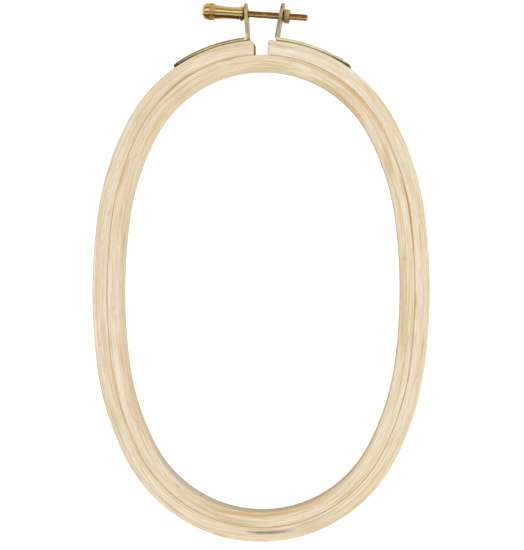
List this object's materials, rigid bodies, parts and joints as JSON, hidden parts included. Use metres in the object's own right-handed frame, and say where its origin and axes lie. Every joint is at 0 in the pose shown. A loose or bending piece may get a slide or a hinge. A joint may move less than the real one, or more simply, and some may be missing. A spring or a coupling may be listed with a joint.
{
  "type": "embroidery hoop",
  "caption": "Oval bentwood embroidery hoop: a split outer ring, a loose inner ring, brass ears and a clamp screw with a turned knob.",
  "frame": {"origin": "middle of the oval, on the plane of the rings' back faces", "axes": "+Z out of the front face, +Y towards the clamp screw, +X to the right as seen from the front"},
  "size_m": [0.1544, 0.2467, 0.0095],
  "materials": {
    "outer_wood": "bare sanded bentwood",
    "inner_wood": "bare sanded bentwood",
    "bracket_brass": "dull plated",
    "pin_brass": "dull plated",
    "rod_brass": "rolled thread, coppery",
    "knob_brass": "polished",
    "nut_brass": "dull plated"
  },
  "bodies": {
    "outer_hoop": {"outer_ring": "outer_wood", "left_bracket": "bracket_brass", "right_bracket": "bracket_brass", "left_bracket_pins": "pin_brass", "right_bracket_pins": "pin_brass"},
    "inner_hoop": {"inner_ring": "inner_wood"},
    "clamp_screw": {"clamp_rod": "rod_brass", "screw_knob": "knob_brass"},
    "nut": {"hex_nut": "nut_brass"}
  },
  "joints": [
    {"name": "inner_ring_lift", "type": "slide", "parent": "outer_hoop", "child": "inner_hoop", "axis": [0, 0, 1], "range_m": [0, 0.03]},
    {"name": "screw_turn", "type": "hinge", "parent": "outer_hoop", "child": "clamp_screw", "pos_m": [-0.00702, 0.12719, 0.00475], "axis": [-0.9974, 0.0718, 0], "range_deg": [0, 5400]},
    {"name": "nut_travel", "type": "slide", "parent": "outer_hoop", "child": "nut", "axis": [0.9974, -0.0718, 0], "range_m": [0, 0.0075]}
  ],
  "couplings": [
    {"joint": "screw_turn", "follows": "nut_travel", "rad_per_m": 12566}
  ]
}
